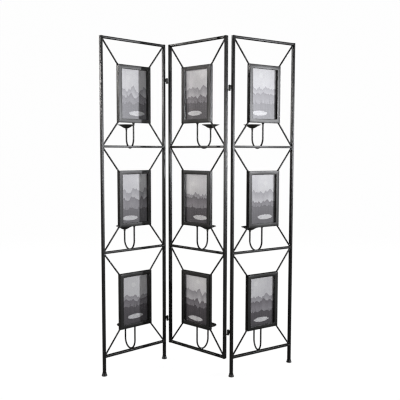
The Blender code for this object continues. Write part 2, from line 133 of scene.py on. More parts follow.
# Gathers grids of points into one mesh. A grid is rows by columns of points. Its columns close
# on themselves, and its rows either close too or end in flat caps. The sign of the volume that
# a grid encloses says whether its faces have to be turned round.
class Skin:
    def __init__(self):
        self.points, self.faces, self.layout, self.edges, self.count = [], [], [], [], 0

    def add(self, points, edge=None, closedRows=False, shift=(0.0, 0.0)):
        points = np.asarray(points, float)
        rows, columns = points.shape[:2]
        edge = np.zeros((rows, columns)) if edge is None else np.broadcast_to(edge, (rows, columns))
        index = np.arange(rows * columns).reshape(rows, columns)
        along = np.linalg.norm(np.roll(points, -1, 0) - points, axis=2).mean(axis=1)
        around = np.linalg.norm(np.roll(points, -1, 1) - points, axis=2).mean(axis=0)
        u = np.concatenate(([0], np.cumsum(along))) + shift[0]
        v = np.concatenate(([0], np.cumsum(around))) + shift[1]
        last = rows if closedRows else rows - 1
        r, c = np.meshgrid(np.arange(last), np.arange(columns), indexing="ij")
        r2, c2 = (r + 1) % rows, (c + 1) % columns
        quads = np.stack((index[r, c], index[r, c2], index[r2, c2], index[r2, c]), -1).reshape(-1, 4)
        corners = np.stack((np.stack((u[r], v[c]), -1), np.stack((u[r], v[c + 1]), -1),
                            np.stack((u[r + 1], v[c + 1]), -1), np.stack((u[r + 1], v[c]), -1)), -2)
        corners = corners.reshape(-1, 4, 2)
        flat, triangles, fanLayout = points.reshape(-1, 3), np.zeros((0, 3), int), np.zeros((0, 3, 2))
        edges = edge.reshape(-1)
        if not closedRows:
            middles = np.stack((points[0].mean(0), points[-1].mean(0)))
            first, final = len(flat), len(flat) + 1
            flat = np.concatenate((flat, middles))
            edges = np.concatenate((edges, (0, 0)))
            ring, following = index[0], np.roll(index[0], -1)
            triangles = np.concatenate((
                np.stack((np.full(columns, first), following, ring), -1),
                np.stack((np.full(columns, final), index[-1], np.roll(index[-1], -1)), -1)))
            fanLayout = flat[triangles][..., :2] + shift
        solid = np.concatenate((quads[:, :3], quads[:, [0, 2, 3]], triangles))
        a, b, d = flat[solid[:, 0]], flat[solid[:, 1]], flat[solid[:, 2]]
        if np.einsum("ij,ij->i", a, np.cross(b, d)).sum() < 0:
            quads, corners = quads[:, ::-1], corners[:, ::-1]
            triangles, fanLayout = triangles[:, ::-1], fanLayout[:, ::-1]
        self.faces += (quads + self.count).tolist() + (triangles + self.count).tolist()
        self.layout += [corners.reshape(-1, 2), fanLayout.reshape(-1, 2)]
        self.points.append(flat)
        self.edges.append(edges)
        self.count += len(flat)


# The object of a mesh, a lamp or a camera, put into the scene.
def placed(data):
    made = bpy.data.objects.new(data.name, data)
    bpy.context.scene.collection.objects.link(made)
    return made


# Puts a skin into a mesh object that rides on a body, with its layout as the UV map and its
# edge value, 1 along rounded edges, as an attribute.
def pieceOf(name, skin, body, finish, replaced):
    mesh = bpy.data.meshes.new(name)
    mesh.from_pydata(np.concatenate(skin.points), [], skin.faces)
    mesh.uv_layers.new(name="layout").data.foreach_set("uv", np.concatenate(skin.layout).ravel())
    mesh.attributes.new("edge", "FLOAT", "POINT").data.foreach_set("value", np.concatenate(skin.edges))
    mesh.shade_smooth()
    mesh.set_sharp_from_angle(angle=math.radians(32))
    mesh.materials.append(finish)
    made = placed(mesh)
    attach(made, body)
    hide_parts(*replaced)


# Unit vectors round a circle, as (count, 2), starting half a step on.
def circle(count):
    angle = 2 * math.pi * (np.arange(count) + 0.5) / count
    return np.stack((np.cos(angle), np.sin(angle)), -1)


# A rectangle with quarter circles for corners. Gives each outline point's corner centre, its
# direction from it, and an edge value that is 1 in the middle of the arc and 0 at its ends.
def roundedCorners(wide, deep, radius, steps=5):
    angle = np.linspace(0, math.pi / 2, steps)
    centres, directions, edge = [], [], []
    for quarter, (sx, sy) in enumerate(((1, 1), (-1, 1), (-1, -1), (1, -1))):
        around = angle + quarter * math.pi / 2
        centres.append(np.tile((sx * (wide / 2 - radius), sy * (deep / 2 - radius)), (steps, 1)))
        directions.append(np.stack((np.cos(around), np.sin(around)), -1))
        edge.append(np.sin(2 * angle))
    return np.concatenate(centres), np.concatenate(directions), np.concatenate(edge)


# Carries outlines along a path: centre + across * outline x + over * outline y, row by row.
def carried(centres, across, over, outlines):
    centres, across, over = (np.atleast_2d(np.asarray(a, float)) for a in (centres, across, over))
    outlines = np.asarray(outlines, float)
    return (centres[:, None] + across[:, None] * outlines[..., :1] + over[:, None] * outlines[..., 1:])


# A straight tube with rounded corners and ends. Near an end the outline draws in by
# e (1 - cos a) while it comes within e (1 - sin a) of the end.
def addTube(skin, start, end, across, over, wide, deep, place, radius=None, rounding=None):
    radius = panelSizes["corner"] if radius is None else radius
    rounding = panelSizes["endRounding"] if rounding is None else rounding
    start, end = np.asarray(start, float), np.asarray(end, float)
    length = np.linalg.norm(end - start)
    angle = np.linspace(math.pi / 2, 0, 4)
    inset = rounding * (1 - np.cos(angle))
    depth = rounding * (1 - np.sin(angle))
    inset = np.concatenate((inset, inset[::-1]))
    along = np.concatenate((depth, length - depth[::-1]))
    corner, direction, edge = roundedCorners(wide, deep, radius)
    outlines = corner[None] + direction[None] * (radius - inset)[:, None, None]
    centres = start + (end - start) / length * along[:, None]
    endEdge = np.sin(2 * np.concatenate((angle, angle[::-1])))[:, None]
    rounded = np.maximum(edge[None], np.clip(endEdge, 0, 1))
    points = carried(centres, np.tile(across, (len(along), 1)), np.tile(over, (len(along), 1)), outlines)
    skin.add(inRoom(points, place), rounded, shift=(start[2], start[0]))


# A round bar: rings of a circle about a path, each square to the path's own direction.
def barPoints(centres, directions, side, radii, count=20):
    directions = directions / np.linalg.norm(directions, axis=1, keepdims=True)
    side = np.broadcast_to(np.asarray(side, float), centres.shape)
    over = np.cross(directions, side)
    over /= np.linalg.norm(over, axis=1, keepdims=True)
    rings = circle(count)[None] * np.asarray(radii, float)[:, None, None]
    return carried(centres, side, over, rings)


# A turned shape about an upright axis: each profile point (radius, height) goes round a circle.
def turnedPoints(profile, spot, count):
    profile = np.asarray(profile, float)
    ring = circle(count)
    x = spot[0] + profile[:, :1] * ring[None, :, 0]
    y = spot[1] + profile[:, :1] * ring[None, :, 1]
    return np.stack((x, y, np.broadcast_to(profile[:, 1:], x.shape)), -1)


# A turned piece in a solid's place, by a profile whose heights count from the solid's underside.
def makeTurned(name, node, profile, count, edge, body, finish):
    spot = footOf(node)
    skin = Skin()
    skin.add(turnedPoints(profile + (0, spot[2]), spot, count), edge)
    pieceOf(name, skin, body, finish, [node])


# An arc for a profile: centre + radius * (cos, sin), from one angle to another, in degrees.
def arc(x, y, radius, first, last, steps=5):
    angle = np.radians(np.linspace(first, last, steps))
    return np.stack((x + radius * np.cos(angle), y + radius * np.sin(angle)), -1)


weld = {
    "radius": 0.0011,
    "ripple": 0.20,           # of the radius
    "pitch": 0.0013,          # between two ripples
    "lump": 0.0056,           # at a brace rod's ends
    "innerInset": 0.0012,     # a lump's centre, from the rod's end at the frame
    "outerInset": 0.0030,     # and from its end at the cell's corner
    "plateLump": 0.0011, "platePitch": 0.0016,
    "plateEnd": 0.0010,       # no lump stands nearer the top of a hinge plate
    "plateProud": 0.0020,     # a lump's centre, in front of the plate's middle
}


# A small lump of weld: an ellipsoid whose radius is multiplied by
# 1 + 0.10 sin(3a + seed) sin(b) + 0.07 sin(5b + 2 seed), a round it and b down from its top.
def addWeldLump(skin, centre, place, size, seed):
    b = np.linspace(0.12, math.pi - 0.12, 9)[:, None]
    a = 2 * math.pi * np.arange(16)[None] / 16
    ripple = 1 + 0.10 * np.sin(3 * a + seed) * np.sin(b) + 0.07 * np.sin(5 * b + 2 * seed)
    x = size[0] * ripple * np.sin(b) * np.cos(a)
    y = size[1] * ripple * np.sin(b) * np.sin(a)
    z = size[2] * ripple * np.cos(b) * np.ones_like(a)
    points = np.stack((x, y, z), -1) + np.asarray(centre, float)
    skin.add(inRoom(points, place), 0.25)


# A weld bead round a rail's end: a ring of circles whose radius rises and falls along the seam
# like a row of overlapped drops, radius * (1 + ripple * |sin(pi s / pitch)|). The highest beads
# are ground flat just below the stiles' tops.
def addBead(skin, x, z, place, wide, deep):
    corner, direction, _ = roundedCorners(deep, wide, panelSizes["corner"], steps=4)
    outline = corner + direction * panelSizes["corner"]
    closed = np.concatenate((outline, outline[:1]))
    reach = np.concatenate(([0], np.cumsum(np.linalg.norm(np.diff(closed, axis=0), axis=1))))
    count = round(reach[-1] / weld["pitch"]) * 4
    s = np.arange(count) / count * reach[-1]
    y, up = np.interp(s, reach, closed[:, 0]), np.interp(s, reach, closed[:, 1])
    swell = weld["radius"] * (1 + weld["ripple"] * np.abs(np.sin(math.pi * s / weld["pitch"])))
    centres = np.stack((np.full_like(s, x), y, z + up), -1)
    out = np.stack((np.zeros_like(s), y, up), -1)
    out /= np.linalg.norm(out, axis=1, keepdims=True)
    rings = circle(8)[None] * swell[:, None, None]
    points = carried(centres, np.tile((1.0, 0, 0), (len(s), 1)), out, rings)
    points[..., 2] = np.minimum(points[..., 2], cadBox[1][2] - 0.00002)
    skin.add(inRoom(points, place), 0.3, closedRows=True)


# Shader maths

# Wraps a socket so that sums on it read as plain expressions and add their Math nodes.
class Value:
    def __init__(self, tree, socket):
        self.tree, self.socket = tree, socket

    def math(self, operation, *others, clamp=False):
        node = self.tree.nodes.new("ShaderNodeMath")
        node.operation, node.use_clamp = operation, clamp
        for place, item in zip(node.inputs, others):
            if isinstance(item, Value):
                self.tree.links.new(item.socket, place)
            else:
                place.default_value = item
        return Value(self.tree, node.outputs[0])

    def __add__(self, other):
        return self.math("ADD", self, other)

    def __radd__(self, other):
        return self.math("ADD", other, self)

    def __sub__(self, other):
        return self.math("SUBTRACT", self, other)

    def __rsub__(self, other):
        return self.math("SUBTRACT", other, self)

    def __mul__(self, other):
        return self.math("MULTIPLY", self, other)

    def __rmul__(self, other):
        return self.math("MULTIPLY", other, self)

    def __truediv__(self, other):
        return self.math("DIVIDE", self, other)

    def __pow__(self, other):
        return self.math("POWER", self, other)

    def __gt__(self, other):
        return self.math("GREATER_THAN", self, other)

    def __lt__(self, other):
        return self.math("LESS_THAN", self, other)

    def size(self):
        return self.math("ABSOLUTE", self)

    def part(self):
        return self.math("FRACT", self)

    def wave(self):
        return self.math("SINE", self)

    # held between 0 and 1
    def kept(self):
        return self.math("ADD", self, 0.0, clamp=True)

    # 0 below low, 1 above high, and a smooth step between
    def step(self, low, high):
        node = self.tree.nodes.new("ShaderNodeMapRange")
        node.interpolation_type = "SMOOTHSTEP"
        self.tree.links.new(self.socket, node.inputs["Value"])
        for name, item in (("From Min", low), ("From Max", high)):
            if isinstance(item, Value):
                self.tree.links.new(item.socket, node.inputs[name])
            else:
                node.inputs[name].default_value = item
        return Value(self.tree, node.outputs["Result"])


# One material, its shader and the ways to fill its sockets.
class Finish:
    def __init__(self, name, **sockets):
        self.material = bpy.data.materials.new(name)
        self.material.use_nodes = True
        self.tree = self.material.node_tree
        self.shader = self.tree.nodes["Principled BSDF"]
        for socket, value in sockets.items():
            self.shader.inputs[socket.replace("_", " ")].default_value = value
        self.place = self.node("ShaderNodeTexCoord")

    # any node: its type, the settings that are set first, and the values or links of its sockets,
    # each under its name, or as i6 under its number where several have one name
    def node(self, kind, settings=None, **sockets):
        node = self.tree.nodes.new(kind)
        for name, value in (settings or {}).items():
            if name == "stops":
                ramp = node.color_ramp.elements
                while len(ramp) < len(value):
                    ramp.new(0.5)
                for stop, (position, colour) in zip(ramp, value):
                    stop.position, stop.color = position, (*colour, 1)
            else:
                setattr(node, name, value)
        for name, value in sockets.items():
            numbered = name[0] == "i" and name[1:].isdigit()
            self.fill(node.inputs[int(name[1:]) if numbered else name.replace("_", " ")], value)
        return node

    def fill(self, place, value):
        if isinstance(value, Value):
            self.tree.links.new(value.socket, place)
        elif isinstance(value, bpy.types.NodeSocket):
            self.tree.links.new(value, place)
        else:
            place.default_value = value

    def value(self, socket):
        return Value(self.tree, socket)

    # one coordinate of a texture space, by its number
    def axis(self, source, number):
        split = self.node("ShaderNodeSeparateXYZ", Vector=self.place.outputs[source])
        return self.value(split.outputs[number])

    # noise at so many lumps per metre, 0 to 1, stretched by the scales of a mapping
    def noise(self, scale, detail=2.0, roughness=0.5, stretch=(1, 1, 1), shift=(0, 0, 0), source="Object"):
        mapping = self.node("ShaderNodeMapping", Vector=self.place.outputs[source],
                            Scale=stretch, Location=shift)
        made = self.node("ShaderNodeTexNoise", Vector=mapping.outputs[0], Scale=scale,
                         Detail=detail, Roughness=roughness)
        return self.value(made.outputs[0])

    def attribute(self, name):
        return self.value(self.node("ShaderNodeAttribute", {"attribute_name": name}).outputs["Fac"])

    # one colour over another where the mask is 1
    def mix(self, mask, under, over):
        node = self.node("ShaderNodeMix", {"data_type": "RGBA"}, i0=mask, i6=under, i7=over)
        return node.outputs[2]

    def ramp(self, factor, stops):
        return self.node("ShaderNodeValToRGB", {"stops": stops}, Fac=factor).outputs["Color"]

    def set(self, **sockets):
        for name, value in sockets.items():
            self.fill(self.shader.inputs[name.replace("_", " ")], value)

    def bump(self, height, depth):
        self.set(Normal=self.node("ShaderNodeBump", Height=height, Distance=depth, Strength=1.0).outputs[0])


# Satin black paint on steel: faint orange peel and cloudiness, drifting gloss, and on rounded
# edges small rubbed spots where the brown undercoat shows.
paints = {
    "tube": dict(name="satin_black_tube", colour=(0.0140, 0.0136, 0.0128),
                 rubbed=(0.085, 0.060, 0.042), roughness=0.37),
    "frame": dict(name="satin_black_frame_bar", colour=(0.0145, 0.0140, 0.0128),
                  rubbed=(0.090, 0.064, 0.046), roughness=0.37),
    "bar": dict(name="satin_black_round_bar", colour=(0.0140, 0.0136, 0.0128),
                rubbed=(0.080, 0.058, 0.042), roughness=0.40),
}
rubbedShare = 0.45       # how much of the paint a rubbed spot has lost


def shaded(colour, share):
    return tuple(share * c for c in colour)


def paintFinish(name, colour, rubbed, roughness):
    made = Finish(name, Metallic=0.0, Specular_IOR_Level=0.55)
    cloud, speck, peel = made.noise(9, 3), made.noise(420, 2), made.noise(650, 1)
    scuff = made.noise(120, 4, 0.65)
    base = made.ramp(cloud, [(0.30, shaded(colour, 0.80)), (0.70, shaded(colour, 1.22))])
    base = made.mix(((speck - 0.68) * 2.0).kept(), base, (*shaded(colour, 2.0), 1))
    worn = made.attribute("edge") * scuff.step(0.60, 0.72) * rubbedShare
    base = made.mix(worn.kept(), base, (*rubbed, 1))
    gloss = roughness + 0.10 * (cloud - 0.5) + 0.08 * (scuff - 0.5) + 0.2 * worn
    made.set(Base_Color=base, Roughness=gloss.kept())
    made.bump(peel * 0.5 + made.noise(70, 2) * 1.2 + worn * -0.8, 0.00004)
    return made.material


finishes = {part: paintFinish(**paint) for part, paint in paints.items()}


# Spun sheet steel under black paint: fine rings left by the tool, which follow the distance
# along the turned profile, under the same paint. The black is painted about three times as light
# as the tubes': painted light, standing for light thrown up from the floor onto the dish.
dishPaint = {
    # painted light: a lighter black than the tubes' paint, standing for light from the floor
    "colour": (0.0430, 0.0415, 0.0345), "rubbed": (0.100, 0.074, 0.054),
    "ringPitch": 0.0011,
}


def dishFinish():
    colour = dishPaint["colour"]
    made = Finish("satin_black_spun_dish", Metallic=0.0, Coat_Roughness=0.22)
    rings = (made.axis("UV", 0) * 2 * math.pi / dishPaint["ringPitch"] + made.noise(30) * 3).wave()
    cloud, scuff = made.noise(22, 3), made.noise(150, 4, 0.65)
    # the lightened black carries the painted light from the floor over the whole dish
    base = made.ramp(cloud, [(0.30, shaded(colour, 0.75)), (0.70, shaded(colour, 1.35))])
    worn = (made.attribute("edge") * scuff.step(0.52, 0.68) * 0.6).kept()
    base = made.mix(worn, base, (*dishPaint["rubbed"], 1))
    made.set(Base_Color=base, Roughness=(0.38 + 0.12 * (cloud - 0.5) + 0.03 * rings).kept(),
             Coat_Weight=(0.25 + 0.2 * (scuff - 0.5)).kept())
    made.bump(rings * 0.35 + made.noise(600) * 0.5, 0.00005)
    return made.material


# Moulded black plastic: a matt grain, greyed a little where the foot meets the floor.
def footFinish():
    made = Finish("black_moulded_foot", Metallic=0.0)
    dusty = (1 - made.axis("Object", 2).step(0.0005, 0.0060)) * made.noise(190, 3)
    grain = made.noise(1400, 2)
    base = made.mix(dusty.kept(), (0.012, 0.012, 0.012, 1), (0.060, 0.057, 0.052, 1))
    made.set(Base_Color=base, Roughness=(0.42 + 0.18 * grain + 0.25 * dusty).kept())
    made.bump(grain, 0.00008)
    return made.material


pinRingPitch = 0.0006


# Dark turned steel: rings about the pin and dull spots.
def pinFinish():
    made = Finish("dark_turned_pin", Metallic=1.0)
    rings = (made.axis("UV", 0) * 2 * math.pi / pinRingPitch).wave()
    spots = made.noise(380, 4, 0.6)
    base = made.ramp(spots, [(0.35, (0.030, 0.028, 0.026)), (0.70, (0.120, 0.115, 0.108))])
    made.set(Base_Color=base, Roughness=(0.30 + 0.25 * spots).kept())
    made.bump(rings * 0.5 + spots, 0.00004)
    return made.material


finishes["dish"] = dishFinish()
finishes["foot"] = footFinish()
finishes["pin"] = pinFinish()
print("paint, spun steel, plastic and pin finishes made")


# Welded panels

hingeEyes = {
    "radius": 0.0063, "hole": 0.0033, "rounding": 0.0006,
    "plate": 0.0045, "plateBehindFace": 0.0008,
    "plateCorner": 0.0007, "plateRounding": 0.0004,
    "plateIntoEye": 0.45,     # of the eye's radius
    "outerHeight": 0.0205, "middleHeight": 0.0065, "gap": 0.0003, "pinHead": 0.0020,
}


# A barrel for the hinge pin, the plate that joins it to the stile, and the weld along the plate.
def addEye(skin, panel, side, face, low, high):
    x, y = side * panelSizes["hingeOut"], face * panelSizes["hingeSet"]
    r, hole, e = hingeEyes["radius"], hingeEyes["hole"], hingeEyes["rounding"]
    outside = np.concatenate((arc(r - e, low + e, e, -90, 0), arc(r - e, high - e, e, 0, 90)))
    profile = np.concatenate((((hole, low), ), outside, ((hole, high), )))
    skin.add(inRoom(turnedPoints(profile, (x, y), 40), panel), 0.15, closedRows=True)
    stile = side * (panelSizes["width"] + panelSizes["face"]) / 2
    plateEnd = x - side * r * hingeEyes["plateIntoEye"]
    plateY = face * (panelSizes["depth"] / 2 - hingeEyes["plateBehindFace"] - hingeEyes["plate"] / 2)
    middle, tall = (low + high) / 2, high - low - 2 * hingeEyes["plateBehindFace"]
    plateStart = stile - side * panelSizes["weldDepth"]
    addTube(skin, (plateStart, plateY, middle), (plateEnd, plateY, middle), (0, 1, 0), (0, 0, 1),
            hingeEyes["plate"], tall, panel, hingeEyes["plateCorner"], hingeEyes["plateRounding"])
    seam, size = plateY + face * weld["plateProud"], np.full(3, weld["plateLump"])
    for z in np.arange(low + weld["platePitch"], high - weld["plateEnd"], weld["platePitch"]):
        addWeldLump(skin, (stile, seam, z), panel, size, z * 900)


# The lower and upper ends of a hinge's two eyes, the middle panel's first, counted from its pin.
def hingeHeights(panel, hinge):
    low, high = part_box(f"hinge_pin_{panel}_{hinge}")
    base = low[2] + hingeEyes["pinHead"] + hingeEyes["gap"]
    split = base + hingeEyes["middleHeight"]
    start = split + hingeEyes["gap"]
    return (base, split), (start, start + hingeEyes["outerHeight"])


# Two stiles and four rails with rounded corners, a bead round each rail's end, and on the
# hinge side the plates and barrels that carry the pins.
def makePanel(panel):
    skin = Skin()
    low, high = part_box(f"panel_frame_{panel}")
    half, face = panelSizes["width"] / 2, panelSizes["face"]
    for x in (-half, half):
        addTube(skin, (x, 0, low[2]), (x, 0, high[2]), (1, 0, 0), (0, 1, 0), face,
                panelSizes["depth"], panel)
    deep = panelSizes["depth"] - 2 * panelSizes["railSetBack"]
    heights = [cellCentres["top"] + panelSizes["cell"] / 2]
    heights += [cellCentres[row] - panelSizes["cell"] / 2 for row in rowNames]
    reach = half - face / 2 + panelSizes["weldDepth"]
    for z in heights:
        addTube(skin, (-reach, 0, z), (reach, 0, z), (0, 1, 0), (0, 0, 1), deep, face, panel,
                rounding=panelSizes["railEndRounding"])
        for side in (-1, 1):
            addBead(skin, side * (half - face / 2), z, panel, face, deep)
    for outer, side, front in (("left", 1, -1), ("right", -1, 1)):
        for hinge in ("upper", "lower"):
            middleEye, outerEye = hingeHeights(outer, hinge)
            if panel == "middle":
                addEye(skin, panel, -side, front, *middleEye)
            elif panel == outer:
                addEye(skin, panel, side, front, *outerEye)
    pieceOf(f"welded_panel_{panel}", skin, f"{panel}_panel", finishes["tube"],
            [f"panel_frame_{panel}"])


for panel in panelNames:
    makePanel(panel)
print("three welded panels made")


# Picture frames

frameSizes = {
    "width": 0.204, "height": 0.300,
    "front": 0.013, "back": 0.011,     # before and behind the panel's middle plane
    "band": 0.020, "rebate": 0.005, "recess": 0.013,
    "rounding": 0.0011, "backRounding": 0.0004,
    "mitre": 0.00012,                  # hairline left by the ground mitre, on each side
    "rod": 0.0045,
    "rodRun": (-0.03, 0.99),           # as shares of the way from the frame to the cell's corner
    "tabThickness": 0.0009, "tabWidth": 0.010, "tabReach": 0.0060, "tabBend": 0.0016,
    "tabRoot": 0.0022,                 # what stands on the rebate's wall, above the bend
    "tabTip": 0.72,                    # width of its end, as a share
    "tabRounding": 0.4,                # of its thickness
    "tabSpread": 0.150,
    "boardBack": 0.0062,               # from the panel's middle plane to the tabs' undersides
}


# The bar's section as (inset from the outer edge, depth), with rounded front edges.
def barSection():
    e, band, front = frameSizes["rounding"], frameSizes["band"], -frameSizes["front"]
    small, back = frameSizes["backRounding"], frameSizes["back"] - frameSizes["backRounding"]
    lip, ledge = band - frameSizes["rebate"], front + frameSizes["recess"]
    outer, inner = arc(e, front + e, e, 180, 270, 6), arc(band - e, front + e, e, 270, 360, 6)
    rest = np.concatenate((arc(band - small, ledge - small, small, 0, 90, 3),
                           ((lip, ledge), (lip, back)),
                           arc(lip - small, back, small, 0, 90, 3),
                           arc(small, back, small, 90, 180, 3)))
    swell = np.sin(np.linspace(0, math.pi, 6))
    return np.concatenate((outer, inner, rest)), np.concatenate((swell, swell, np.full(len(rest), 0.2)))


# One mitred bar: the section at its two ends, where a point inset by i lies i nearer the middle
# of the frame both ways, so that the ends meet their neighbours at 45 degrees.
def addBar(skin, centre, place, turn):
    section, edge = barSection()
    halfLong = (frameSizes["width"], frameSizes["height"])[turn % 2] / 2
    halfOut = (frameSizes["height"], frameSizes["width"])[turn % 2] / 2
    stops = np.array((-1.0, -0.34, 0.34, 1.0))[:, None]
    along = (halfLong - section[:, 0] - frameSizes["mitre"])[None] * stops
    away = np.broadcast_to(halfOut - section[:, 0], along.shape)
    depth = np.broadcast_to(section[:, 1], along.shape)
    c, s = round(math.cos(turn * math.pi / 2)), round(math.sin(turn * math.pi / 2))
    points = np.stack((along * c - away * s, depth, centre + along * s + away * c), -1)
    skin.add(inRoom(points, place), edge[None], shift=(0.31 * turn, 0.07 * turn))


# A bent tongue: a thin strip along a path that leaves the rebate's wall, turns a quarter circle
# and lies on the board. Its outline is a flat rectangle with rounded ends.
def addTab(skin, spot, inward, place):
    reach, bend, thick = frameSizes["tabReach"], frameSizes["tabBend"], frameSizes["tabThickness"]
    lie = frameSizes["boardBack"] + thick / 2
    quarter = np.linspace(0, math.pi / 2, 6)
    out = np.concatenate(((thick / 2,), thick / 2 + bend * (1 - np.cos(quarter)), (reach,)))
    root = lie + bend + frameSizes["tabRoot"]
    deep = np.concatenate(((root,), lie + bend * (1 - np.sin(quarter)), (lie,)))
    inward, side = np.array(inward, float), np.array((-inward[2], 0.0, inward[0]))
    centres = np.array(spot, float) + inward * out[:, None] + np.array((0.0, 1.0, 0.0)) * deep[:, None]
    step = np.gradient(centres, axis=0)
    step /= np.linalg.norm(step, axis=1, keepdims=True)
    over = np.cross(step, side)
    radius = thick * frameSizes["tabRounding"]
    corner, direction, edge = roundedCorners(frameSizes["tabWidth"], thick, radius, 3)
    narrow = np.ones((len(out), 1, 2))
    narrow[-1, 0, 0] = frameSizes["tabTip"]
    outline = (corner + direction * radius)[None] * narrow
    skin.add(inRoom(carried(centres, np.tile(side, (len(out), 1)), over, outline), place), edge[None])


# A brace rod from a corner of the frame to the corner of its cell, with a lump of weld at both.
def addRod(skin, inner, outer, panel, shift, seed):
    run = outer - inner
    inward = run / np.linalg.norm(run)
    share = np.linspace(*frameSizes["rodRun"], 12)[:, None]
    radii = np.full(len(share), frameSizes["rod"])
    points = barPoints(inner + run * share, np.tile(run, (len(share), 1)), (0, 1, 0), radii)
    skin.add(inRoom(points, panel), shift=shift)
    for spot, shares, turn in ((inner + inward * weld["innerInset"], (0.92, 0.90, 0.95), seed),
                               (outer - inward * weld["outerInset"], (0.90, 0.90, 0.90), seed + 1)):
        addWeldLump(skin, spot, panel, weld["lump"] * np.array(shares), turn)


def makeFrame(panel, row, number):
    skin, z = Skin(), cellCentres[row]
    for turn in range(4):
        addBar(skin, z, panel, turn)
    wallX = frameSizes["width"] / 2 - frameSizes["band"] + frameSizes["rebate"]
    wallZ = frameSizes["height"] / 2 - frameSizes["band"] + frameSizes["rebate"]
    for side in (-1, 1):
        for lift in (-frameSizes["tabSpread"] / 2, frameSizes["tabSpread"] / 2):
            addTab(skin, (side * wallX, 0, z + lift), (-side, 0, 0), panel)
        addTab(skin, (0, 0, z + side * wallZ), (0, 0, -side), panel)
    cellX = (panelSizes["width"] - panelSizes["face"]) / 2
    cellZ = (panelSizes["cell"] - panelSizes["face"]) / 2
    for sx in (-1, 1):
        for sz in (-1, 1):
            inner = np.array((sx * frameSizes["width"] / 2, 0, z + sz * frameSizes["height"] / 2))
            outer = np.array((sx * cellX, 0, z + sz * cellZ))
            addRod(skin, inner, outer, panel, (number * 0.37, sx + 2 * sz), number * 2.1 + sx + 3 * sz)
    pieceOf(f"braced_frame_{panel}_{row}", skin, f"{panel}_panel",
            finishes["frame"], [f"picture_frame_{panel}_{row}"])


for number, (panel, row) in enumerate(cells):
    makeFrame(panel, row, number)
print("nine braced picture frames made")


# Candle arms and dishes

armSizes = {
    "radius": 0.0045, "reach": 0.078, "dip": 0.006, "bend": 0.052,
    "flange": 0.0080, "flangeThickness": 0.0022, "neck": 0.0066, "neckHeight": 0.0070,
    "screw": 0.0028, "screwLength": 0.0085, "gap": 0.0003, "rounding": 0.0005,
    "dishDrop": 0.0345,      # the dish's underside, below the frame
    "socket": 0.0065,
}
dishSizes = {
    "radius": 0.0475, "height": 0.0285, "wall": 0.0016, "floor": 0.0190,
    "boss": 0.0058, "bossHeight": 0.0080, "rim": 0.0011, "rounding": 0.0006,
    "swell": 0.11,           # how far the underside bows from a straight cone
    "floorMargin": 0.002,    # the sloping inside stops so far outside the floor
    "fillet": ((0.0008, 0.0003), (-0.0010, 0.0)),     # its points, from the floor's edge
    "floorRings": (0.55, 0.10),                       # of the floor's radius
}


# The arm's path below its fixing: screw, flange and coned neck as a turned stack, a straight
# leg, half an ellipse, and a straight leg up to the dish. x is 0, y runs back, z is height.
def makeArm(panel, row):
    a = armSizes
    joint = next(j for j in frame["joints"] if j["name"] == f"candle_arm_swivel_{panel}_{row}")
    spot, dish = np.array(joint["pos_m"]), footOf(f"candle_dish_{panel}_{row}")
    railLine = cellCentres[row] - panelSizes["cell"] / 2
    bendTop = railLine - a["dip"] + a["bend"] - spot[2]
    e = a["rounding"]
    head = np.array(((a["screw"] - e, a["screwLength"]), (a["screw"], a["screwLength"] - e),
                     (a["screw"], -a["gap"])))
    flange = np.concatenate((
        arc(a["flange"] - e, -a["gap"] - e, e, 90, 0, 4),
        arc(a["flange"] - e, -a["gap"] - a["flangeThickness"] + e, e, 0, -90, 4)))
    coneShare = np.linspace(0, 1, 7)
    neckTop = -a["gap"] - a["flangeThickness"]
    cone = np.stack((a["neck"] + (a["radius"] - a["neck"]) * np.sin(coneShare * math.pi / 2),
                     neckTop - a["neckHeight"] * coneShare), -1)
    stack = np.concatenate((head, flange, cone))
    straight = np.linspace(stack[-1, 1], bendTop, 8)[1:]
    angle = np.linspace(0, math.pi, 49)
    bendZ, bendY = bendTop - a["bend"] * np.sin(angle), a["reach"] / 2 * (1 - np.cos(angle))
    rising = np.linspace(bendTop, -a["dishDrop"] + a["socket"] - a["gap"], 10)[1:]
    z = np.concatenate((stack[:, 1], straight, bendZ[1:], rising))
    y = np.concatenate((np.zeros(len(stack) + len(straight)), bendY[1:], np.full(len(rising), a["reach"])))
    radius = np.concatenate((stack[:, 0], np.full(len(z) - len(stack), a["radius"])))
    straightDown = np.zeros(len(stack) + len(straight))
    dy = np.concatenate((straightDown, a["reach"] / 2 * np.sin(angle[1:]), np.zeros(len(rising))))
    dz = np.concatenate((straightDown - 1, -a["bend"] * np.cos(angle[1:]), np.ones(len(rising))))
    centres, directions = (np.stack((np.zeros_like(z), p, q), -1) for p, q in ((y, z), (dy, dz)))
    points = barPoints(centres, directions, (1, 0, 0), radius, 24)
    edge = np.concatenate((np.full(len(stack), 0.5), np.full(len(z) - len(stack), 0.12)))[:, None]
    back = (dish[:2] - spot[:2]) / np.linalg.norm(dish[:2] - spot[:2])
    turned = np.stack((spot[0] + points[..., 0] * back[1] + points[..., 1] * back[0],
                       spot[1] - points[..., 0] * back[0] + points[..., 1] * back[1],
                       spot[2] + points[..., 2]), -1)
    skin = Skin()
    skin.add(turned, edge)
    pieceOf(f"hairpin_arm_{panel}_{row}", skin, f"candle_arm_{panel}_{row}",
            finishes["bar"], [f"candle_arm_{panel}_{row}"])


